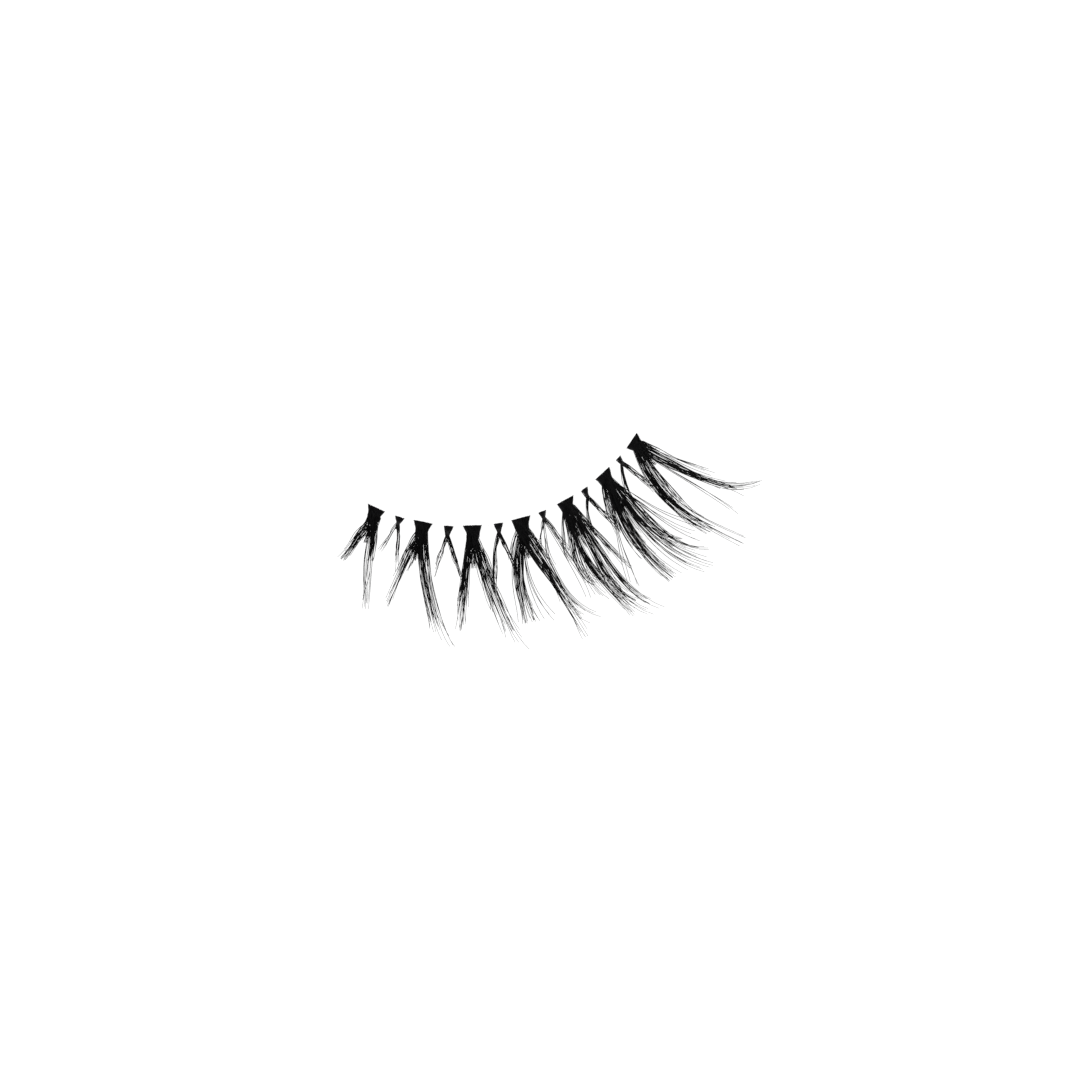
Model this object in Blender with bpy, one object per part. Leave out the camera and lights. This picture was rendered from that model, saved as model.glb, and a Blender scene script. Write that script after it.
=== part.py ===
"""A strip of false eyelashes: a clear curved band that carries thirteen crossed clusters of black fibre.

Metres, +Z up. The origin is the middle of the band's flat underside. +X runs along the strip towards its
outer corner, the lashes point along -Y, and their tips curl up along +Z. The strip lies as it would by
itself: on the band's underside and on the bellies of the seven main clusters.
"""

import math

import bmesh
import bpy
from mathutils import Matrix, Vector

MM = 0.001

# The clear band, an arc that lies flat
BAND_RADIUS = 20.7 * MM
BAND_WIDTH = 0.4 * MM
BAND_THICKNESS = 0.15 * MM
BAND_END = 1.0 * MM
BAND_STEPS = 40
BAND_EDGE_ROUNDING = 0.04 * MM

# The clusters, an even pitch along the band, main and filler in turn
CLUSTER_SPACING = 2.47 * MM
SEAT_GAP = 0.05 * MM
NECK_LENGTH = 0.6 * MM
FOOT_THICKNESS = 0.35 * MM
MAIN_FOOT_WIDTH = 1.8 * MM
MAIN_WAIST_WIDTH = 1.25 * MM
FILLER_FOOT_WIDTH = 0.85 * MM
FILLER_WAIST_WIDTH = 0.42 * MM

# The locks of fibre that leave each waist
LASH_LENGTH = 14.0 * MM
LOCK_WIDTH = 1.0 * MM
LOCK_THICKNESS = 0.3 * MM
FILLER_LOCK_THICKNESS = 0.2 * MM
CROSSING_GAP = 0.1 * MM
LANDING = 2.0 * MM
BELLY = 3.3 * MM
CURL_RADIUS = 15.0 * MM
LOCK_SIDES = 6
ROOT_SHARE = 0.2

# Each lock's columns: where it leaves the waist, as a share of half the waist; its lean from straight
# out, its bend along its length and its hook near the tip, in degrees, + towards the outer corner; its
# length as a share of LASH_LENGTH; its width as a share of LOCK_WIDTH.
# Each cluster's first entry is the sideways shift of its waist, as a share of the waist.
MAIN_CLUSTERS = (
    (0.16, (
        (0.10, -13, 10, -16, 0.41, 0.60),
        (0.60, 23, -15, 15, 0.71, 0.60),
        (-0.10, 10, 20, -10, 0.72, 0.28),
    )),
    (0.08, (
        (0.00, -12, 0, 0, 0.62, 0.90),
        (-0.75, -17, 9, 11, 0.40, 0.30),
        (0.35, 9, 25, -10, 0.82, 0.85),
        (0.80, 16, 8, 15, 0.95, 0.25),
    )),
    (0.20, (
        (0.00, -15, 19, -13, 0.76, 0.95),
        (-0.10, 14, 3, 7, 0.74, 0.80),
        (0.55, 22, -15, 20, 1.00, 0.55),
        (0.60, 29, -26, -2, 1.00, 0.30),
    )),
    (-0.04, (
        (-0.55, -31, 6, 0, 0.25, 0.35),
        (0.55, -35, 61, -41, 0.80, 0.45),
        (0.55, -25, 39, -7, 0.78, 0.40),
        (0.10, 13, 7, -25, 1.00, 1.25),
        (-0.40, 34, -65, 87, 0.86, 0.50),
        (0.00, -1, -5, 41, 0.84, 0.30),
    )),
    (-0.08, (
        (-0.50, -43, 66, -17, 0.47, 0.32),
        (-0.20, -22, 7, 43, 0.59, 0.50),
        (0.00, -16, 46, 0, 1.00, 0.65),
        (-0.20, 10, -47, 86, 0.96, 0.55),
        (0.60, 9, -32, 59, 0.93, 0.55),
        (0.90, 18, -30, 31, 0.56, 0.32),
    )),
    (-0.28, (
        (-0.70, -41, 39, -10, 0.39, 0.30),
        (-0.35, -19, 5, 22, 0.94, 0.90),
        (0.10, -10, -9, 30, 0.86, 0.30),
        (0.20, -12, 33, -6, 1.00, 0.55),
        (0.80, -2, -3, 39, 0.93, 0.60),
        (0.35, 14, -7, 20, 0.70, 0.30),
        (-0.30, 13, -6, 14, 0.88, 0.32),
    )),
    (-0.32, (
        (-0.80, -38, 53, -15, 0.84, 0.95),
        (-0.10, -26, 35, -30, 1.00, 0.32),
        (0.00, -6, 32, -34, 0.95, 0.50),
        (0.70, 2, -10, 54, 0.96, 0.60),
        (1.00, 3, 10, -3, 0.57, 0.30),
    )),
)
FILLER_CLUSTERS = (
    (0.60, ((-0.20, -12, 7, -14, 0.23, 0.38), (0.30, 21, -15, 0, 0.41, 0.35))),
    (0.64, ((-0.20, -18, 16, -8, 0.34, 0.35), (0.20, 24, -4, 3, 0.33, 0.35))),
    (0.57, ((-0.10, -24, 28, -4, 0.41, 0.32), (0.10, 14, 8, -12, 0.29, 0.35))),
    (-0.48, (
        (-0.40, -31, 7, 6, 0.20, 0.30),
        (0.00, -17, 19, 0, 0.31, 0.28),
        (0.60, 17, -9, 6, 0.33, 0.35),
        (0.20, 10, -2, -8, 0.71, 0.28),
    )),
    (-0.83, ((-0.20, -41, 39, 0, 0.37, 0.32), (0.20, 13, -15, 3, 0.32, 0.35))),
    (-1.60, ((-0.20, -40, 26, 0, 0.22, 0.32), (0.20, 11, -14, 0, 0.21, 0.38))),
)

# Along a lock, from its root to its tip: the share of its length, of its width and of its thickness
LOCK_PROFILE = (
    (0.00, 0.45, 0.70),
    (0.12, 0.75, 0.95),
    (0.28, 1.00, 1.00),
    (0.45, 0.92, 0.85),
    (0.62, 0.72, 0.65),
    (0.78, 0.48, 0.48),
    (0.90, 0.28, 0.32),
    (1.00, 0.10, 0.20),
)

# Along a foot, from the band to just past the waist: the share of the way out, and of the foot's flare
FOOT_PROFILE = ((0.00, 1.00), (0.30, 0.75), (0.62, 0.28), (1.00, 0.00), (1.35, 0.18))

FIBRE_COLOUR = (0.012, 0.011, 0.013)
BAND_COLOUR = (0.93, 0.93, 0.91)


def clear_scene():
    for obj in list(bpy.data.objects):
        bpy.data.objects.remove(obj, do_unlink=True)


def make_material(name, colour, roughness, transmission=0.0):
    material = bpy.data.materials.new(name)
    material.use_nodes = True
    shader = material.node_tree.nodes["Principled BSDF"]
    shader.inputs["Base Color"].default_value = (*colour, 1.0)
    shader.inputs["Roughness"].default_value = roughness
    shader.inputs["Metallic"].default_value = 0.0
    shader.inputs["Transmission Weight"].default_value = transmission
    material.diffuse_color = (*colour, 1.0)
    return material


def add_object(name, bm, material):
    bmesh.ops.recalc_face_normals(bm, faces=bm.faces)
    mesh = bpy.data.meshes.new(name)
    bm.to_mesh(mesh)
    bm.free()
    mesh.materials.append(material)
    mesh.shade_smooth()
    mesh.set_sharp_from_angle(angle=math.radians(50))
    obj = bpy.data.objects.new(name, mesh)
    bpy.context.scene.collection.objects.link(obj)
    return obj


def ease(share):
    """0 below 0, 1 above 1, and a smooth rise between."""
    share = min(max(share, 0.0), 1.0)
    return share * share * (3 - 2 * share)


def loft(bm, rings):
    """Bridges oval rings, each given by its centre, across and up half-axes, into one closed body."""
    loops = []
    for number, (centre, across, up) in enumerate(rings):
        place = Matrix.Identity(4)
        place.col[0] = (*up, 0.0)
        place.col[1] = (*across, 0.0)
        place.col[2] = (*up.cross(across).normalized(), 0.0)
        place.col[3] = (*centre, 1.0)
        ends = number in (0, len(rings) - 1)
        made = bmesh.ops.create_circle(
            bm, cap_ends=ends, segments=LOCK_SIDES, radius=1.0, matrix=place
        )
        verts = set(made["verts"])
        loops.append([edge for edge in bm.edges if verts.issuperset(edge.verts)])
    for near, far in zip(loops, loops[1:]):
        bmesh.ops.bridge_loops(bm, edges=near + far)


def band_edge():
    return BAND_WIDTH / 2


def waist_out():
    return band_edge() + NECK_LENGTH


def distance_out(point):
    """How far a point of a cluster's own frame lies outside the band's centre line."""
    return math.hypot(point.x, BAND_RADIUS - point.y) - BAND_RADIUS


def rest_height(out):
    """The height of the underside of the main locks: over the band, down to rest, then the curl."""
    seat = BAND_THICKNESS + SEAT_GAP
    landed = ease((out - band_edge()) / LANDING)
    past = max(0.0, out - BELLY)
    return seat * (1 - landed) + past * past / (2 * CURL_RADIUS)


def filler_lift(out):
    """Filler locks rise on leaving the band, and so pass over the main locks that they cross."""
    climb = 1.5 * NECK_LENGTH
    return (LOCK_THICKNESS + CROSSING_GAP) * ease((out - band_edge()) / climb)


def lock_rings(row, waist_width, shift, thickness, lift):
    """The rings of one lock, walked out from inside the waist in small steps."""
    at, lean, bend, hook, length_share, width_share = row
    length = length_share * LASH_LENGTH
    width = width_share * LOCK_WIDTH
    plan = Vector(((shift + at / 2) * waist_width, -waist_out(), 0.0))
    rings = []
    for index, (along, wide, thick) in enumerate(LOCK_PROFILE):
        before = LOCK_PROFILE[index - 1][0] if index else 0.0
        step = (along - before) * length
        middle = (along + before) / 2
        heading = math.radians(lean + bend * middle + hook * middle**3)
        slope = math.atan(max(0.0, distance_out(plan) - BELLY) / CURL_RADIUS)
        way = Vector((math.sin(heading), -math.cos(heading), 0.0))
        plan = plan + way * step * math.cos(slope)
        out = distance_out(plan)
        rise = math.atan(max(0.0, out - BELLY) / CURL_RADIUS)
        half = thick * thickness / 2
        buried = max(0.0, foot_half(1.0) - half) * (1 - ease(along / ROOT_SHARE))
        centre = plan + Vector((0, 0, rest_height(out) + lift(out) + half + buried))
        across = way.cross(Vector((0, 0, 1)))
        up = Vector((0, 0, math.cos(rise))) - way * math.sin(rise)
        rings.append((centre, across * wide * width / 2, up * half / math.cos(math.pi / LOCK_SIDES)))
    return rings


def foot_half(along):
    """Half the foot's thickness, which thins a little from the band to the waist."""
    return FOOT_THICKNESS / 2 * (1 - 0.15 * along)


def foot_rings(foot_width, waist_width, shift, lift):
    """The glued bow-tie foot: wide on the band, narrow at the waist, where the fibres cross."""
    rings = []
    start = -0.9 * band_edge()
    for along, flare in FOOT_PROFILE:
        out = start + along * (waist_out() - start)
        width = waist_width + flare * (foot_width - waist_width)
        half = foot_half(along)
        centre = Vector((shift * waist_width * ease(along), -out, rest_height(out) + lift(out) + half))
        up = Vector((0, 0, half / math.cos(math.pi / LOCK_SIDES)))
        rings.append((centre, Vector((width / 2, 0, 0)), up))
    return rings


def build_cluster(name, place, row, widths, thickness, lift, material):
    """One foot with its locks united to it, set on the band at its place."""
    shift, locks = row
    foot_width, waist_width = widths
    bm = bmesh.new()
    loft(bm, foot_rings(foot_width, waist_width, shift, lift))
    cluster = add_object(name, bm, material)
    helpers = bpy.data.collections.new(name + "_locks")
    bpy.context.scene.collection.children.link(helpers)
    for number, lock in enumerate(locks, 1):
        bm = bmesh.new()
        loft(bm, lock_rings(lock, waist_width, shift, thickness, lift))
        helper = add_object(f"{name}_lock_{number}", bm, material)
        helper.hide_render = True
        helper.display_type = "WIRE"
        helper.parent = cluster
        bpy.context.scene.collection.objects.unlink(helper)
        helpers.objects.link(helper)
    union = cluster.modifiers.new("locks", "BOOLEAN")
    union.operation = "UNION"
    union.operand_type = "COLLECTION"
    union.collection = helpers
    angle = place * CLUSTER_SPACING / BAND_RADIUS
    cluster.location = (BAND_RADIUS * math.sin(angle), BAND_RADIUS * (1 - math.cos(angle)), 0.0)
    cluster.rotation_euler = (0.0, 0.0, angle)
    return cluster


def build_band(material):
    """A flat ribbon turned round the arc's centre, with its long edges slightly rounded."""
    reach = (len(MAIN_CLUSTERS) - 1) * CLUSTER_SPACING + BAND_END
    half_angle = reach / BAND_RADIUS
    centre = Vector((0, BAND_RADIUS, 0))
    bm = bmesh.new()
    place = Matrix.Translation((0, 0, BAND_THICKNESS / 2)) @ Matrix.Rotation(math.pi / 2, 4, "Y")
    size = Matrix.Diagonal((BAND_THICKNESS, BAND_WIDTH, 1, 1))
    bmesh.ops.create_grid(bm, x_segments=1, y_segments=1, size=0.5, matrix=place @ size)
    bmesh.ops.rotate(
        bm, verts=bm.verts, cent=centre, matrix=Matrix.Rotation(-half_angle, 3, "Z")
    )
    bmesh.ops.spin(
        bm, geom=bm.verts[:] + bm.edges[:] + bm.faces[:], cent=centre, axis=(0, 0, 1),
        angle=2 * half_angle, steps=BAND_STEPS, use_merge=False, use_duplicate=False,
    )
    bmesh.ops.recalc_face_normals(bm, faces=bm.faces)
    top = BAND_THICKNESS * 0.99
    edges = [
        edge for edge in bm.edges
        if min(vert.co.z for vert in edge.verts) > top and len({face.normal.z > 0.9 for face in edge.link_faces}) > 1
    ]
    bmesh.ops.bevel(
        bm, geom=edges, offset=BAND_EDGE_ROUNDING, segments=1, profile=0.5, affect="EDGES", material=-1
    )
    return add_object("band", bm, material)


def main():
    clear_scene()
    build_band(make_material("clear_band", BAND_COLOUR, 0.15, transmission=0.8))
    main_fibre = make_material("main_fibre", FIBRE_COLOUR, 0.42)
    filler_fibre = make_material("filler_fibre", FIBRE_COLOUR, 0.45)
    middle = len(MAIN_CLUSTERS) - 1
    for number, row in enumerate(MAIN_CLUSTERS):
        build_cluster(
            f"main_cluster_{number + 1}", 2 * number - middle, row,
            (MAIN_FOOT_WIDTH, MAIN_WAIST_WIDTH), LOCK_THICKNESS, lambda out: 0.0, main_fibre,
        )
    for number, row in enumerate(FILLER_CLUSTERS):
        build_cluster(
            f"filler_cluster_{number + 1}", 2 * number + 1 - middle, row,
            (FILLER_FOOT_WIDTH, FILLER_WAIST_WIDTH), FILLER_LOCK_THICKNESS, filler_lift, filler_fibre,
        )


main()
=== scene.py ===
"""The looks of a strip of false eyelashes: crossed clusters of fine black fibre on a clear band.

Metres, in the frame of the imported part: +X runs to the strip's outer corner, the lashes point along -Y,
and their tips curl up along +Z.
"""

import math
import random
from collections import namedtuple

import bmesh
import bpy
from mathutils import Matrix, Vector, noise


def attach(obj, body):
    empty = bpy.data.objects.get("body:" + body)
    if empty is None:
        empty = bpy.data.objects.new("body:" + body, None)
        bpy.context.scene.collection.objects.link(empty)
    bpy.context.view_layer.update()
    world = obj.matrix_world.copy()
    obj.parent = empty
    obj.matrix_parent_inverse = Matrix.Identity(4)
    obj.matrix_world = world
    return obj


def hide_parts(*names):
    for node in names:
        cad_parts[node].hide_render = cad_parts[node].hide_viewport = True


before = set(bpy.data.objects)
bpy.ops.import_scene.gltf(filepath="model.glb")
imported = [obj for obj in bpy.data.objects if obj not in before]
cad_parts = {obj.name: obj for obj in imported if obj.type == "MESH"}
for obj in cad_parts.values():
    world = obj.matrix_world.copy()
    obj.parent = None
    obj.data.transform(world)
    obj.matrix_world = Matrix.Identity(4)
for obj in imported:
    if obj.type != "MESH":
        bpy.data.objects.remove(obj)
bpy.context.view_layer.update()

MM = 0.001

# The band and the places of the clusters, as in the frame
BAND_RADIUS = 20.7 * MM
BAND_WIDTH = 0.4 * MM
BAND_THICKNESS = 0.15 * MM
BAND_END = 1.0 * MM
BAND_ROUNDING = 0.05 * MM
BAND_STEPS = 160
CLUSTER_SPACING = 2.47 * MM
SEAT_GAP = 0.05 * MM
NECK_LENGTH = 0.6 * MM
BELLY = 3.3 * MM
LANDING = 2.0 * MM
CURL_RADIUS = 15.0 * MM
LOCK_THICKNESS = 0.3 * MM
FILLER_LOCK_THICKNESS = 0.2 * MM
CROSSING_GAP = 0.1 * MM
FOOT_THICKNESS = 0.35 * MM
BAND_EDGE = BAND_WIDTH / 2
WAIST_OUT = BAND_EDGE + NECK_LENGTH
LIFT_LENGTH = 1.5 * NECK_LENGTH
LID_CENTRE = Vector((0, BAND_RADIUS, 0))

# The fibre: TIP_SHARE is the radius left at its tip, and its taper starts at TAPER_START of its length
FIBRE_RADIUS = 0.03 * MM
TIP_SHARE = 0.65
TAPER_START = 0.5
FIBRE_ROUNDNESS = 1
HIGHEST_TIP = 3.6 * MM
STEPS_IN_FOOT = 3
STEPS_IN_LOCK = 13
SEED = 41

# Each row of the tables below is drawn with FULLNESS times the fibres that it lists. They gather into small
# bundles by GATHERED of their length, and the lock's thickness drops to TIP_THICKNESS of its own.
FULLNESS = 1.3
FIBRES_IN_BUNDLE = 4
GATHERED = 0.8
TIP_THICKNESS = 0.5

# How the fibres of one wisp differ, in degrees: from side to side of the wisp, and by chance
FAN = 1.5
LEAN_SPREAD = 0.8
BEND_SPREAD = 2
HOOK_SPREAD = 3

# A fibre curls up by chance between this share of the curl and all of it
LEAST_CURL = 0.9

# A fibre's cut end on the band: the lean that reaches the foot's far corner, in degrees, and how much of half
# the foot its side of the wisp and chance move it
CORNER_LEAN = 26
FOOT_SIDE_SHARE = 0.45
FOOT_CHANCE_SHARE = 0.16

# A fibre's slight wave: the spread of its depth in mm, its radians along the lock, and how fast it sets in
WAVE_SPREAD = 0.05
WAVE_RADIANS = 9
WAVE_ONSET = 3
LARGEST_PHASE = 6.3

# The glued pad in a foot: shares of the foot's width and, at the band and the waist, of its thickness; then
# its sides, the ridges that the fibres leave in it, and its ragged ends
PAD_WIDTH_SHARE = 0.97
PAD_HALF_HEIGHTS = (0.36, 0.28)
PAD_SIDES = 28
PAD_SHORTEST_SPLIT = 0.05 * MM
RIDGE_WIDTH = 0.07 * MM
RIDGE_LENGTH = 0.9 * MM
RIDGE_HEIGHT = 0.03 * MM
RIDGE_STEP = 3.1
RAGGED_WIDTH = 0.12 * MM
RAGGED_DEPTH = 0.03 * MM
RAGGED_ROW = 7.7

# Each cluster's first values shift its foot and its waist along the band, in mm, + to the outer corner; the
# next is how far the foot lies back over the band's centre line, in mm.
# Each wisp's columns: where it leaves the waist, in mm from the cluster's axis; its lean from straight out,
# its bend along its length and its hook near the tip, in degrees; its length and its width at the root in
# mm; the share of that width at its tip; how many fibres; how much shorter the shortest is; how much they
# change places on the way; how far their tips stray, in mm.
# These rows were not chosen by hand from the start. They began as curves that a program fitted to points
# listed along the photo's locks, and were then changed: about a fifth keep all three fitted angles, and most
# of the rest are within 5 degrees of them.
Wisp = namedtuple("Wisp", "at lean bend hook length width tip_width count short tangle stray")
MAIN_CLUSTERS = (
    (0.15, 0.24, 0.12, (
        (0.18, -7, -3, 0, 5.5, 0.72, 0.40, 13, 0.25, 0.4, 0.05),
        (0.14, -23, 22, 8, 4.6, 0.30, 0.80, 2, 0.30, 0.5, 0.08),
        (0.34, -17, 8, 0, 4.6, 0.35, 0.80, 2, 0.30, 0.5, 0.08),
        (0.26, 29, -12, -5, 4.6, 0.85, 0.50, 13, 0.30, 0.4, 0.05),
        (0.50, 17, 0, 0, 3.4, 0.60, 0.60, 5, 0.35, 0.4, 0.05),
        (0.40, 19, 7, -5, 10.0, 0.32, 0.45, 5, 0.35, 0.5, 0.05),
        (0.28, 9, 39, -28, 10.3, 0.24, 0.60, 3, 0.30, 0.4, 0.05),
        (0.34, 6, 0, 0, 2.8, 1.40, 0.75, 34, 0.45, 0.4, 0.04),
    )),
    (0.14, 0.20, 0.20, (
        (0.40, -21, 25, -12, 8.8, 0.72, 0.40, 9, 0.40, 0.4, 0.05),
        (0.18, -14, 10, -5, 3.7, 0.72, 0.60, 9, 0.35, 0.4, 0.05),
        (-0.15, -30, 50, -35, 4.8, 0.30, 0.80, 3, 0.30, 0.5, 0.10),
        (0.00, -22, 20, -5, 5.4, 0.30, 0.80, 2, 0.30, 0.5, 0.12),
        (0.40, -4, -9, -9, 4.4, 0.35, 0.60, 4, 0.35, 0.5, 0.08),
        (0.20, 8, 37, -21, 11.2, 0.46, 0.70, 10, 0.45, 0.5, 0.06),
        (0.22, 14, 18, -5, 11.2, 0.42, 0.70, 8, 0.60, 0.6, 0.08),
        (0.50, 17, 4, 27, 12.2, 0.25, 0.70, 3, 0.40, 0.4, 0.06),
        (0.56, 19, 0, 30, 13.4, 0.15, 0.60, 2, 0.10, 0.4, 0.05),
        (0.64, 14, 0, 0, 3.6, 0.40, 0.80, 13, 0.35, 0.4, 0.04),
        (0.18, 4, 0, 0, 3.0, 1.20, 0.80, 29, 0.50, 0.4, 0.04),
    )),
    (0.20, 0.27, 0.21, (
        (0.03, -12, 13, -12, 7.6, 0.72, 0.75, 15, 0.25, 0.4, 0.06),
        (0.04, -9, 9, -9, 10.6, 0.42, 0.50, 8, 0.20, 0.5, 0.06),
        (-0.10, -14, 22, -13, 10.2, 0.30, 0.80, 4, 0.20, 0.4, 0.05),
        (0.28, 4, 31, -30, 8.6, 0.38, 0.90, 7, 0.30, 0.6, 0.06),
        (0.40, 6, 23, -12, 11.6, 0.45, 0.90, 5, 0.35, 0.7, 0.10),
        (0.42, 9, 26, -19, 6.8, 0.38, 0.80, 4, 0.20, 0.4, 0.05),
        (0.52, 24, -4, -28, 6.2, 0.40, 0.90, 5, 0.35, 0.8, 0.12),
        (0.28, 20, -6, 15, 11.4, 0.50, 0.90, 4, 0.30, 0.8, 0.10),
        (0.36, 10, 25, -19, 12.0, 0.45, 0.90, 3, 0.30, 0.8, 0.10),
        (0.42, 20, -12, 30, 14.4, 0.40, 0.60, 4, 0.30, 0.7, 0.10),
        (0.12, -3, 0, 0, 3.4, 1.05, 0.90, 33, 0.55, 0.4, 0.04),
    )),
    (0.23, 0.16, 0.20, (
        (-0.36, -35, 13, 8, 3.4, 0.35, 0.90, 4, 0.10, 0.3, 0.04),
        (0.26, -37, 68, -44, 10.8, 0.50, 0.60, 11, 0.35, 0.4, 0.06),
        (0.46, -27, 40, -3, 10.6, 0.35, 0.50, 10, 0.20, 0.4, 0.05),
        (0.34, -31, 48, -16, 10.6, 0.50, 0.60, 5, 0.35, 0.6, 0.08),
        (0.38, -21, 50, -5, 11.0, 0.15, 0.60, 2, 0.20, 0.4, 0.06),
        (-0.36, 20, -15, 6, 14.4, 0.60, 0.40, 11, 0.40, 0.5, 0.06),
        (-0.24, 20, -10, 0, 9.0, 0.66, 0.60, 9, 0.35, 0.5, 0.06),
        (-0.34, 6, 30, -11, 8.5, 0.35, 0.60, 4, 0.30, 0.5, 0.05),
        (0.34, 26, -48, 84, 12.2, 0.35, 0.60, 5, 0.35, 0.6, 0.10),
        (0.08, 20, -34, 76, 13.2, 0.30, 0.50, 4, 0.20, 0.5, 0.08),
        (0.50, 18, -8, 0, 3.8, 0.40, 0.80, 8, 0.40, 0.4, 0.04),
        (0.06, -6, 0, 0, 3.2, 1.20, 0.90, 34, 0.50, 0.4, 0.04),
    )),
    (0.13, -0.08, 0.20, (
        (-0.60, -31, 9, 24, 5.2, 0.20, 0.80, 4, 0.15, 0.3, 0.03),
        (-0.44, -16, -16, 80, 8.7, 0.52, 0.50, 11, 0.30, 0.6, 0.06),
        (-0.03, -18, 41, -6, 11.8, 0.55, 0.60, 11, 0.25, 0.6, 0.06),
        (0.12, -20, 62, -39, 14.7, 0.30, 0.50, 6, 0.20, 0.5, 0.08),
        (0.16, 1, -22, 58, 12.8, 0.40, 0.60, 10, 0.25, 0.6, 0.05),
        (0.26, 1, 0, -4, 6.2, 0.60, 0.90, 7, 0.30, 0.5, 0.05),
        (0.36, 6, -19, 46, 13.6, 0.40, 0.60, 8, 0.25, 0.6, 0.06),
        (0.34, 22, -27, -7, 3.2, 0.35, 0.80, 3, 0.30, 0.4, 0.05),
        (0.52, 12, -2, 0, 9.0, 0.50, 0.80, 9, 0.35, 0.6, 0.12),
        (0.06, -20, 12, 34, 11.1, 0.25, 0.80, 3, 0.20, 0.4, 0.10),
        (0.28, -3, -9, 57, 15.6, 0.30, 0.60, 5, 0.15, 0.5, 0.10),
        (0.41, 4, -13, 52, 15.4, 0.15, 0.60, 3, 0.10, 0.5, 0.08),
        (0.08, -6, 4, 0, 4.6, 0.40, 0.70, 6, 0.35, 0.4, 0.05),
        (-0.18, -10, 0, 0, 3.0, 0.95, 0.95, 26, 0.45, 0.4, 0.04),
    )),
    (-0.08, -0.38, 0.24, (
        (-0.84, -38, 36, -16, 5.2, 0.42, 0.80, 9, 0.30, 0.5, 0.06),
        (-0.22, -25, 27, 3, 13.2, 0.65, 0.30, 21, 0.30, 0.4, 0.05),
        (-0.14, -34, 32, 3, 9.2, 0.36, 0.60, 9, 0.35, 0.5, 0.06),
        (0.18, -28, 27, 0, 7.9, 0.35, 0.70, 7, 0.30, 0.5, 0.06),
        (0.09, -15, 32, -14, 9.8, 0.28, 0.60, 7, 0.20, 0.4, 0.05),
        (0.14, -14, 35, 5, 15.0, 0.34, 0.50, 7, 0.20, 0.5, 0.08),
        (0.25, -12, 10, 7, 7.3, 0.25, 0.70, 4, 0.30, 0.5, 0.06),
        (0.06, 5, -33, 60, 10.0, 0.45, 0.60, 11, 0.20, 0.4, 0.06),
        (0.20, 4, -27, 80, 13.4, 0.28, 0.60, 6, 0.20, 0.5, 0.06),
        (0.04, 13, -6, 29, 11.0, 0.25, 0.80, 2, 0.25, 0.4, 0.08),
        (-0.39, 18, -32, 43, 12.1, 0.35, 0.90, 2, 0.30, 0.6, 0.10),
        (-0.04, -14, 21, 19, 15.5, 0.35, 0.70, 5, 0.20, 0.6, 0.12),
        (0.00, -39, 22, -12, 12.6, 0.12, 0.80, 3, 0.10, 0.3, 0.04),
        (-0.46, -16, 0, 0, 3.4, 1.05, 0.95, 34, 0.50, 0.4, 0.04),
    )),
    (-0.44, -0.54, 0.25, (
        (-0.94, -37, 46, -10, 12.2, 0.85, 0.45, 18, 0.30, 0.6, 0.05),
        (-1.02, -36, 46, -10, 9.8, 0.36, 0.60, 6, 0.30, 0.4, 0.05),
        (-1.00, -31, 53, -26, 16.2, 0.20, 0.50, 5, 0.15, 0.5, 0.08),
        (-0.76, -17, -16, 20, 7.2, 0.42, 0.60, 9, 0.30, 0.5, 0.06),
        (-0.80, -14, -17, 25, 10.6, 0.20, 0.60, 2, 0.30, 0.5, 0.08),
        (-0.60, -5, 44, -50, 12.4, 0.30, 0.60, 4, 0.30, 0.4, 0.06),
        (-0.30, 6, -23, 82, 13.8, 0.46, 0.45, 10, 0.25, 0.4, 0.05),
        (-0.47, -1, 20, -16, 9.6, 0.55, 0.60, 8, 0.30, 0.5, 0.05),
        (0.04, 8, -2, 6, 8.0, 0.40, 0.70, 4, 0.30, 0.5, 0.06),
        (-0.64, -4, 14, -30, 13.1, 0.12, 0.80, 2, 0.20, 0.4, 0.06),
        (0.10, 6, 0, 0, 1.9, 0.30, 0.80, 4, 0.30, 0.4, 0.04),
        (-0.56, -14, 0, 0, 2.4, 1.00, 0.95, 24, 0.40, 0.4, 0.04),
    )),
)
FILLER_CLUSTERS = (
    (0.24, 0.30, 0.09, (
        (0.19, -12, 6, -12, 3.2, 0.32, 0.90, 5, 0.50, 0.5, 0.06),
        (0.36, 21, -15, 3, 4.8, 0.32, 0.60, 8, 0.50, 0.3, 0.03),
    )),
    (0.29, 0.29, 0.12, (
        (0.34, -19, 17, -9, 4.6, 0.34, 0.80, 7, 0.45, 0.4, 0.04),
        (0.20, 24, -5, 4, 5.0, 0.36, 0.70, 10, 0.45, 0.3, 0.03),
    )),
    (0.35, 0.29, 0.16, (
        (0.30, -24, 30, -5, 6.1, 0.32, 0.80, 10, 0.30, 0.3, 0.03),
        (0.26, 15, 6, -12, 4.6, 0.28, 0.80, 8, 0.15, 0.3, 0.03),
    )),
    (0.01, -0.14, 0.14, (
        (-0.27, -31, 5, 4, 3.0, 0.18, 0.90, 3, 0.20, 0.2, 0.03),
        (-0.22, -19, 8, 22, 4.9, 0.18, 0.90, 3, 0.20, 0.3, 0.03),
        (0.02, 17, -11, 10, 4.0, 0.24, 0.80, 4, 0.20, 0.3, 0.03),
        (-0.17, 12, -8, -7, 10.2, 0.25, 0.90, 3, 0.30, 0.6, 0.08),
    )),
    (-0.06, -0.26, 0.14, (
        (-0.33, -41, 35, 2, 4.2, 0.26, 0.90, 6, 0.15, 0.3, 0.03),
        (-0.34, 9, 0, -10, 4.8, 0.34, 0.80, 8, 0.15, 0.3, 0.03),
    )),
    (-0.26, -0.50, 0.22, (
        (-0.86, -44, 30, -1, 4.0, 0.28, 0.90, 8, 0.15, 0.3, 0.03),
        (-0.42, 3, 0, -16, 4.2, 0.44, 0.90, 7, 0.20, 0.5, 0.06),
    )),
)

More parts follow.
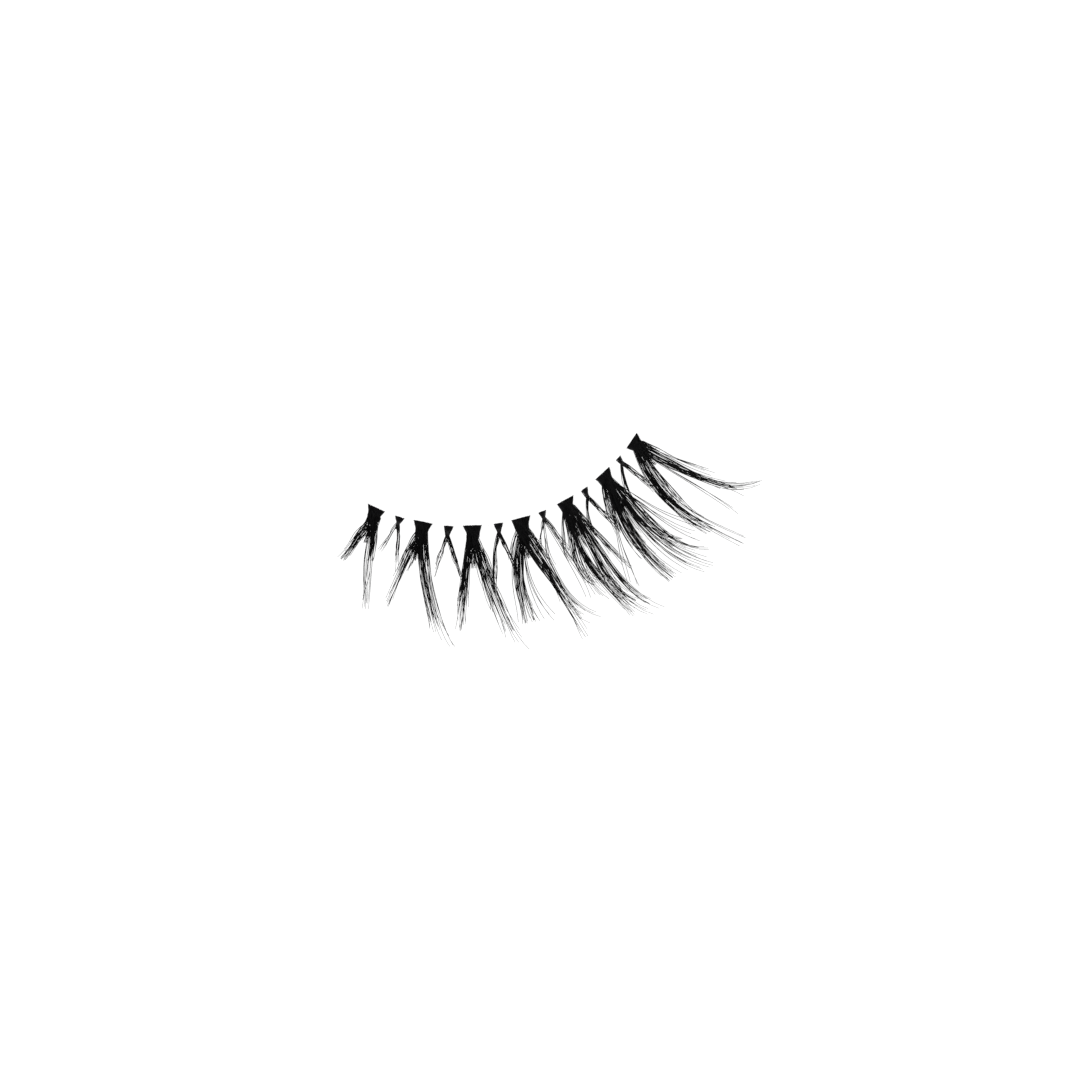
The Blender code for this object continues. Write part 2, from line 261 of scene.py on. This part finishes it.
# The widths of the feet and waists. The fillers' feet are in mm, from the first filler to the sixth.
MAIN_FOOT, MAIN_WAIST = 1.9 * MM, 1.3 * MM
FILLER_FEET = (0.98, 0.90, 0.90, 0.80, 0.75, 0.70)
FILLER_WAIST = 0.30 * MM

# Along a foot, from the band to past the waist: the share of the way out, and of the foot's flare
FOOT_PROFILE = (
    (0.00, 1.00), (0.15, 0.90), (0.35, 0.68), (0.62, 0.30), (0.85, 0.10), (1.10, 0.00), (1.50, -0.60),
)


class Wire:
    """One output of a node, so that it can stand in a Python expression."""

    def __init__(self, nodes, socket):
        self.nodes = nodes
        self.socket = socket

    def _maths(self, operation, first, second):
        return self.nodes.node("ShaderNodeMath", {"operation": operation}, {0: first, 1: second})

    def __add__(self, other):
        return self._maths("ADD", self, other)

    __radd__ = __add__

    def __sub__(self, other):
        return self._maths("SUBTRACT", self, other)

    def __rsub__(self, other):
        return self._maths("SUBTRACT", other, self)

    def __mul__(self, other):
        return self._maths("MULTIPLY", self, other)

    __rmul__ = __mul__

    def __truediv__(self, other):
        return self._maths("DIVIDE", self, other)

    def __rtruediv__(self, other):
        return self._maths("DIVIDE", other, self)

    def __pow__(self, other):
        return self._maths("POWER", self, other)

    def __rpow__(self, other):
        return self._maths("POWER", other, self)


class Nodes:
    """The nodes behind one shader."""

    def __init__(self, tree, shader):
        self.tree = tree
        self.shader = tree.nodes[shader]

    def node(self, kind, settings, sockets, output=0):
        """Adds a node: its settings first, then the values or links of its sockets."""
        made = self.tree.nodes.new(kind)
        for name, value in settings.items():
            setattr(made, name, value)
        for key, value in sockets.items():
            if isinstance(value, Wire):
                self.tree.links.new(value.socket, made.inputs[key])
            else:
                made.inputs[key].default_value = value
        return Wire(self, made.outputs[output])

    def feed(self, socket, wire):
        self.tree.links.new(wire.socket, self.shader.inputs[socket])


class Paint(Nodes):
    """A material under construction, with the constants of its Principled shader."""

    def __init__(self, name, **constants):
        self.material = bpy.data.materials.new(name)
        self.material.use_nodes = True
        super().__init__(self.material.node_tree, "Principled BSDF")
        for socket, value in constants.items():
            self.shader.inputs[socket.replace("_", " ")].default_value = value

    def place(self):
        return self.node("ShaderNodeTexCoord", {}, {}, "Object")

    def along_fibres(self, across, along):
        """A pattern space that follows the fan of fibres: finer across them than along them."""
        split = self.node("ShaderNodeSeparateXYZ", {}, {0: self.place()})
        x = split
        y = Wire(self, split.socket.node.outputs[1])
        z = Wire(self, split.socket.node.outputs[2])
        inward = BAND_RADIUS - y
        angle = self.node("ShaderNodeMath", {"operation": "ARCTAN2"}, {0: x, 1: inward})
        out = (x * x + inward * inward) ** 0.5 - BAND_RADIUS
        space = self.node(
            "ShaderNodeCombineXYZ", {},
            {0: angle * (BAND_RADIUS / across), 1: out / along, 2: z / across},
        )
        return space, out

    def noise(self, space, scale, detail=2.0):
        return self.node("ShaderNodeTexNoise", {}, {"Vector": space, "Scale": scale, "Detail": detail})

    def ramp(self, value, low, high, start=0.0, end=1.0):
        """Maps low..high of a value to start..end, and holds the ends."""
        return self.node(
            "ShaderNodeMapRange", {"interpolation_type": "SMOOTHSTEP"},
            {0: value, 1: low, 2: high, 3: start, 4: end},
        )

    def blend(self, factor, first, second):
        """Mixes two colours; the first may be a colour that nodes have made."""
        return self.node(
            "ShaderNodeMix", {"data_type": "RGBA"},
            {0: factor, 6: (*first, 1) if isinstance(first, tuple) else first, 7: (*second, 1)}, 2
        )

    def bump(self, height, depth, strength):
        return self.node("ShaderNodeBump", {}, {"Height": height, "Distance": depth, "Strength": strength})


def fibre_material(name, roughness):
    """Satin black synthetic fibre: glue-dark at the roots, a shade browner and duller at the tips."""
    paint = Paint(name, Specular_IOR_Level=0.22, IOR=1.5)
    space, out = paint.along_fibres(0.09 * MM, 2.5 * MM)
    streak = paint.noise(space, 1.0)
    tip = paint.ramp(out, 5 * MM, 14 * MM)
    black = paint.blend(streak, (0.0014, 0.0013, 0.0016), (0.0042, 0.0037, 0.0046))
    paint.feed("Base Color", paint.blend(tip, black, (0.009, 0.0065, 0.0062)))
    paint.feed("Roughness", roughness + streak * 0.14 + tip * 0.08)
    fine = paint.noise(space, 3.0, 3.0)
    paint.feed("Normal", paint.bump(fine, 0.008 * MM, 0.35))
    return paint.material


def glue_material():
    """Black glue over the crossed roots: glossier than the fibre, with the fibres' ridges under its skin."""
    paint = Paint("root_glue", Specular_IOR_Level=0.3, IOR=1.48)
    space, out = paint.along_fibres(0.08 * MM, 1.2 * MM)
    ridges = paint.noise(space, 1.0, 3.0)
    lumps = paint.noise(paint.place(), 3200.0, 3.0)
    paint.feed("Base Color", paint.blend(lumps, (0.0022, 0.0019, 0.0026), (0.0075, 0.0062, 0.0088)))
    paint.feed("Roughness", 0.30 + lumps * 0.25)
    paint.feed("Coat Weight", paint.ramp(out, 0.2 * MM, 1.1 * MM, 0.35, 0.05))
    paint.feed("Normal", paint.bump(ridges * 0.7 + lumps * 0.3, 0.03 * MM, 0.6))
    return paint.material


def band_material():
    """Clear nylon: glossy, with faint draw lines along it and a slight haze."""
    paint = Paint("clear_nylon", Transmission_Weight=1.0, IOR=1.36, Specular_IOR_Level=0.5)
    space, _ = paint.along_fibres(1.5 * MM, 0.05 * MM)
    lines = paint.noise(space, 1.0, 3.0)
    haze = paint.noise(paint.place(), 900.0, 2.0)
    paint.feed("Base Color", paint.blend(haze, (0.99, 0.99, 0.985), (0.95, 0.955, 0.96)))
    paint.feed("Roughness", 0.06 + haze * 0.12)
    paint.feed("Alpha", paint.ramp(lines, 0.2, 0.8, 0.35, 0.5))
    paint.feed("Normal", paint.bump(lines, 0.01 * MM, 0.3))
    return paint.material


def ease(share):
    """0 below 0, 1 above 1, and a smooth rise between."""
    share = min(max(share, 0.0), 1.0)
    return share * share * (3 - 2 * share)


def mix(first, second, share):
    return first + (second - first) * share


def distance_out(point):
    """How far a point of a cluster's own frame lies outside the band's centre line."""
    return math.hypot(point.x, BAND_RADIUS - point.y) - BAND_RADIUS


def curl_height(out):
    past = max(0.0, out - BELLY)
    return past * past / (2 * CURL_RADIUS)


def rest_height(out, curl=1.0):
    """The height of the main locks' undersides: over the band, down to rest, then the curl."""
    landed = ease((out - BAND_EDGE) / LANDING)
    return (BAND_THICKNESS + SEAT_GAP) * (1 - landed) + curl * curl_height(out)


def filler_lift(out):
    """Filler locks rise on leaving the band, and so pass over the main locks that they cross."""
    return (LOCK_THICKNESS + CROSSING_GAP) * ease((out - BAND_EDGE) / LIFT_LENGTH)


def no_lift(out):
    """Main locks stay down."""
    return 0.0


class Cluster:
    """One crossed cluster: its place on the band, its foot and waist, and its wisps."""

    def __init__(self, kind, number, place, row, foot, waist, thickness, lift):
        self.name = f"{kind}_cluster_{number}"
        self.kind = kind
        self.number = number
        self.foot_shift, self.waist_shift, self.foot_back = (value * MM for value in row[:3])
        self.wisps = [Wisp(*columns) for columns in row[3]]
        self.foot = foot
        self.waist = waist
        self.thickness = thickness
        self.lift = lift
        angle = place * CLUSTER_SPACING / BAND_RADIUS
        spot = (BAND_RADIUS * math.sin(angle), BAND_RADIUS * (1 - math.cos(angle)), 0)
        self.matrix = Matrix.Translation(spot) @ Matrix.Rotation(angle, 4, "Z")
        self.dice = random.Random(SEED * 100 + place)


def direction(azimuth, elevation):
    """The unit vector towards a place in the sky, given in degrees."""
    azimuth, elevation = math.radians(azimuth), math.radians(elevation)
    return Vector((
        math.sin(azimuth) * math.cos(elevation), -math.cos(azimuth) * math.cos(elevation), math.sin(elevation),
    ))


def plan_of(cluster, wisp, side, reach, dice):
    """One fibre seen from above: its cut end on the band, its way through the waist, and its wisp's path."""
    lean = wisp.lean + side * FAN + dice.gauss(0, LEAN_SPREAD)
    bend = wisp.bend + dice.gauss(0, BEND_SPREAD)
    hook = wisp.hook + dice.gauss(0, HOOK_SPREAD)
    start_share = -lean / CORNER_LEAN + FOOT_SIDE_SHARE * side + dice.gauss(0, FOOT_CHANCE_SHARE)
    start_share = max(-1.0, min(1.0, start_share))
    start = Vector((cluster.foot_shift + start_share * cluster.foot / 2, cluster.foot_back, 0))
    waist = Vector((wisp.at * MM, -WAIST_OUT, 0))
    beside = Vector((side * wisp.width * MM / 2, 0, 0))
    plan = []
    for step in range(STEPS_IN_FOOT):
        share = step / STEPS_IN_FOOT
        spot = start.lerp(waist, share)
        spot.x = mix(start.x, waist.x + beside.x, mix(share, ease(share), 0.5)) - beside.x
        plan.append((spot, 0.0, Vector((0, -1, 0))))
    spot = waist.copy()
    for step in range(STEPS_IN_LOCK + 1):
        along = step / STEPS_IN_LOCK
        far = along * reach
        heading = math.radians(lean + bend * far + hook * far**3)
        way = Vector((math.sin(heading), -math.cos(heading), 0))
        plan.append((spot.copy(), along, way))
        slope = math.atan(max(0.0, distance_out(spot) - BELLY) / CURL_RADIUS)
        spot += way * math.cos(slope) * wisp.length * MM * reach / STEPS_IN_LOCK
    return plan


def fibre_path(cluster, wisp, side, end_side, level, dice):
    """The points of one fibre and its radius at each."""
    reach = 1 - wisp.short * dice.random() ** 2
    plan = plan_of(cluster, wisp, side, reach, dice)
    drift = dice.gauss(0, wisp.stray) * MM
    wave, phase = dice.gauss(0, WAVE_SPREAD) * MM, dice.uniform(0, LARGEST_PHASE)
    tip_height = curl_height(distance_out(plan[-1][0]))
    curl = dice.uniform(LEAST_CURL, 1.0) * min(1.0, HIGHEST_TIP / max(tip_height, MM))
    points = []
    for spot, along, way in plan:
        across = Vector((-way.y, way.x, 0)).normalized()
        here = mix(side, end_side, ease(along / GATHERED)) * mix(1.0, wisp.tip_width, ease(along * reach))
        wiggle = wave * math.sin(phase + along * WAVE_RADIANS) * ease(along * WAVE_ONSET) + drift * along**2
        spot = spot + across * (here * wisp.width * MM / 2 + wiggle)
        out = distance_out(spot)
        room = cluster.thickness * mix(1.0, TIP_THICKNESS, ease(along)) - 2 * FIBRE_RADIUS
        up = rest_height(out, curl) + cluster.lift(out) + FIBRE_RADIUS + level * room
        radius = mix(1.0, TIP_SHARE, ease((along - TAPER_START) / (1 - TAPER_START)))
        points.append((Vector((spot.x, spot.y, up)), radius))
    return points


def fibres_of(cluster):
    """Every fibre of the cluster: even across each wisp at the waist, in bundles towards its tip."""
    dice = cluster.dice
    paths = []
    for wisp in cluster.wisps:
        count = round(FULLNESS * wisp.count)
        bundles = max(1, round(count / FIBRES_IN_BUNDLE))
        levels = [(index + 0.5) / count for index in range(count)]
        dice.shuffle(levels)
        for index, level in enumerate(levels):
            side = 2 * (index + dice.random()) / count - 1
            wanted = mix(side, dice.uniform(-1, 1), wisp.tangle)
            bundle = min(bundles - 1, int((wanted + 1) / 2 * bundles))
            end_side = 2 * (bundle + 0.5) / bundles - 1 if bundles > 1 else 0.0
            end_side += dice.gauss(0, 0.5 / bundles)
            paths.append(fibre_path(cluster, wisp, side, end_side, level, dice))
    return paths


def tube_mesh(name, paths, matrix):
    """Tapered round fibres: one curve with a bevel and a radius at each point, made a mesh."""
    curve = bpy.data.curves.new(name, "CURVE")
    curve.dimensions = "3D"
    curve.bevel_depth = FIBRE_RADIUS
    curve.bevel_resolution = FIBRE_ROUNDNESS
    curve.use_fill_caps = True
    for path in paths:
        spline = curve.splines.new("POLY")
        spline.points.add(len(path) - 1)
        for target, (point, radius) in zip(spline.points, path):
            target.co = (*(matrix @ point), 1)
            target.radius = radius
    holder = bpy.data.objects.new(name + "_curve", curve)
    bpy.context.scene.collection.objects.link(holder)
    bpy.context.view_layer.update()
    mesh = bpy.data.meshes.new_from_object(holder.evaluated_get(bpy.context.evaluated_depsgraph_get()))
    bpy.data.objects.remove(holder)
    mesh.name = name
    return mesh


def add_piece(name, mesh, material, slot, node=None):
    """A finished piece at the origin, riding on the strip, with its material; the slot is not used."""
    mesh.materials.clear()
    mesh.materials.append(material)
    mesh.shade_smooth()
    piece = bpy.data.objects.new(name, mesh)
    bpy.context.scene.collection.objects.link(piece)
    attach(piece, "root")
    if node:
        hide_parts(node)
    return piece


def oval_ring(bm, centre, half_width, half_height, sides):
    """A ring of points across a foot, wide along X and standing along Z."""
    place = Matrix.Translation(centre) @ Matrix.Rotation(math.pi / 2, 4, "X")
    size = Matrix.Diagonal((half_width, half_height, 1, 1))
    made = bmesh.ops.create_circle(bm, segments=sides, radius=1.0, matrix=place @ size)
    verts = set(made["verts"])
    return [edge for edge in bm.edges if verts.issuperset(edge.verts)]


def glue_pad(cluster):
    """The glued foot under and between the fibres: a thin bow-tie with the fibres' ridges in it."""
    bm = bmesh.new()
    rings = []
    for along, flare in FOOT_PROFILE:
        out = mix(-cluster.foot_back, WAIST_OUT, along)
        width = mix(cluster.waist, cluster.foot, flare) * PAD_WIDTH_SHARE
        half = FOOT_THICKNESS * mix(*PAD_HALF_HEIGHTS, along)
        up = rest_height(out) + cluster.lift(out) + half
        centre = Vector((mix(cluster.foot_shift, cluster.waist_shift, ease(along)), -out, up))
        rings.append(oval_ring(bm, centre, width / 2, half, PAD_SIDES))
    for near, far in zip(rings, rings[1:]):
        bmesh.ops.bridge_loops(bm, edges=near + far)
    for ring in (rings[0], rings[-1]):
        bmesh.ops.contextual_create(bm, geom=ring)
    split = [
        edge for edge in bm.edges
        if abs((edge.verts[0].co - edge.verts[1].co).y) > PAD_SHORTEST_SPLIT
    ]
    bmesh.ops.subdivide_edges(bm, edges=split, cuts=1, use_grid_fill=True)
    for vert in bm.verts:
        x, y = vert.co.x, vert.co.y
        ridge = noise.noise(Vector((x / RIDGE_WIDTH, y / RIDGE_LENGTH, cluster.number * RIDGE_STEP)))
        ragged = noise.noise(Vector((x / RAGGED_WIDTH, RAGGED_ROW, cluster.number)))
        vert.co.z += ridge * RIDGE_HEIGHT
        vert.co.y += ragged * RAGGED_DEPTH
    bmesh.ops.recalc_face_normals(bm, faces=bm.faces)
    bm.transform(cluster.matrix)
    mesh = bpy.data.meshes.new(cluster.name + "_glue")
    bm.to_mesh(mesh)
    bm.free()
    return mesh


def band_ribbon():
    """The clear band: a flat ribbon with rounded edges, turned round the lid's centre."""
    reach = (len(MAIN_CLUSTERS) - 1) * CLUSTER_SPACING + BAND_END
    half_angle = reach / BAND_RADIUS
    bm = bmesh.new()
    place = Matrix.Translation((0, 0, BAND_THICKNESS / 2)) @ Matrix.Rotation(math.pi / 2, 4, "Y")
    size = Matrix.Diagonal((BAND_THICKNESS, BAND_WIDTH, 1, 1))
    bmesh.ops.create_grid(bm, x_segments=1, y_segments=1, size=0.5, matrix=place @ size)
    bmesh.ops.bevel(
        bm, geom=bm.verts[:], offset=BAND_ROUNDING, segments=3, profile=0.5, affect="VERTICES", material=-1,
    )
    bmesh.ops.rotate(bm, verts=bm.verts, cent=LID_CENTRE, matrix=Matrix.Rotation(-half_angle, 3, "Z"))
    bmesh.ops.spin(
        bm, geom=bm.verts[:] + bm.edges[:] + bm.faces[:], cent=LID_CENTRE, axis=(0, 0, 1),
        angle=2 * half_angle, steps=BAND_STEPS, use_merge=False, use_duplicate=False,
    )
    bmesh.ops.recalc_face_normals(bm, faces=bm.faces)
    mesh = bpy.data.meshes.new("band_ribbon")
    bm.to_mesh(mesh)
    bm.free()
    return mesh


def clusters():
    """The main clusters at every second place along the band, then the fillers between them."""
    middle = len(MAIN_CLUSTERS) - 1
    for number, row in enumerate(MAIN_CLUSTERS, 1):
        yield Cluster(
            "main", number, 2 * number - 2 - middle, row, MAIN_FOOT, MAIN_WAIST, LOCK_THICKNESS, no_lift
        )
    for number, row in enumerate(FILLER_CLUSTERS, 1):
        yield Cluster(
            "filler", number, 2 * number - 1 - middle, row, FILLER_FEET[number - 1] * MM, FILLER_WAIST,
            FILLER_LOCK_THICKNESS, filler_lift,
        )


def build_strip():
    fibre = {
        "main": fibre_material("main_lash_fibre", 0.40),
        "filler": fibre_material("filler_lash_fibre", 0.44),
    }
    glue = glue_material()
    for cluster in clusters():
        name = f"{cluster.kind}_fibres_{cluster.number}"
        mesh = tube_mesh(name, fibres_of(cluster), cluster.matrix)
        add_piece(name, mesh, fibre[cluster.kind], cluster.kind + "_fibre", cluster.name)
        add_piece(f"{cluster.kind}_glue_{cluster.number}", glue_pad(cluster), glue, cluster.kind + "_fibre")
    add_piece("band_ribbon", band_ribbon(), band_material(), "clear_band", "band")


# The photograph's view, in degrees, and where the band's middle falls in its 1080 pixel frame
VIEW_AZIMUTH = -15.54
VIEW_ELEVATION = 75.0
FRAME_PIXELS = 1080
BAND_MIDDLE_PIXEL = (519.2, 521.3)
PIXEL = 0.1 * MM
LENS, SENSOR = 100.0, 36.0

# The floor reaches FLOOR_HALF metres each way and lies FLOOR_DROP under the strip
FLOOR_HALF = 3.0
FLOOR_DROP = 0.002 * MM

# The sky is as bright as the first share up to the height HORIZON, and as the second from CEILING upwards,
# on a sphere of radius 1
HORIZON, HORIZON_LIGHT = 0.08, 1.0
CEILING, CEILING_LIGHT = 0.75, 0.05

# Each light's columns: its name, its azimuth and elevation in degrees, its distance and size in metres, and
# its power in watts
LIGHTS = (
    ("key", -60, 48, 0.5, 0.16, 0.5),
    ("fill", 110, 35, 0.6, 0.30, 0.3),
)


def add_camera():
    back = direction(VIEW_AZIMUTH, VIEW_ELEVATION)
    turn = (-back).to_track_quat("-Z", "Y")
    right, up = turn @ Vector((1, 0, 0)), turn @ Vector((0, 1, 0))
    distance = FRAME_PIXELS * PIXEL * LENS / SENSOR
    half = FRAME_PIXELS / 2
    data = bpy.data.cameras.new("camera")
    data.lens, data.sensor_width = LENS, SENSOR
    data.clip_start, data.clip_end = 0.01, 10
    camera = bpy.data.objects.new("camera", data)
    camera.rotation_mode = "QUATERNION"
    camera.rotation_quaternion = turn
    camera.location = (
        back * distance
        + right * (half - BAND_MIDDLE_PIXEL[0]) * PIXEL
        + up * (BAND_MIDDLE_PIXEL[1] - half) * PIXEL
    )
    bpy.context.scene.collection.objects.link(camera)
    bpy.context.scene.camera = camera


def add_floor():
    bm = bmesh.new()
    bmesh.ops.create_grid(bm, x_segments=1, y_segments=1, size=FLOOR_HALF)
    mesh = bpy.data.meshes.new("floor")
    bm.to_mesh(mesh)
    bm.free()
    paint = Paint(
        "white_floor", Base_Color=(0.5, 0.5, 0.5, 1), Roughness=0.9, Specular_IOR_Level=0.0,
        Emission_Color=(1, 1, 1, 1), Emission_Strength=0.95,
    )
    mesh.materials.append(paint.material)
    floor = bpy.data.objects.new("floor", mesh)
    floor.location.z = -FLOOR_DROP
    bpy.context.scene.collection.objects.link(floor)


def add_light(name, azimuth, elevation, distance, size, power):
    back = direction(azimuth, elevation)
    data = bpy.data.lights.new(name, "AREA")
    data.shape, data.size, data.energy = "DISK", size, power
    light = bpy.data.objects.new(name, data)
    light.location = back * distance
    light.rotation_euler = (-back).to_track_quat("-Z", "Y").to_euler()
    bpy.context.scene.collection.objects.link(light)


def add_lights():
    """A bright horizon and a darker ceiling keep the floor white and the fibres black."""
    world = bpy.data.worlds.new("studio")
    world.use_nodes = True
    sky = Nodes(world.node_tree, "Background")
    sky.shader.inputs["Color"].default_value = (1, 1, 1, 1)
    place = sky.node("ShaderNodeTexCoord", {}, {}, "Generated")
    height = sky.node("ShaderNodeSeparateXYZ", {}, {0: place}, 2)
    strength = sky.node(
        "ShaderNodeMapRange", {},
        {0: height, 1: HORIZON, 2: CEILING, 3: HORIZON_LIGHT, 4: CEILING_LIGHT},
    )
    sky.feed("Strength", strength)
    bpy.context.scene.world = world
    for light in LIGHTS:
        add_light(*light)


build_strip()
add_camera()
add_floor()
add_lights()
bpy.context.scene.view_settings.view_transform = "Standard"
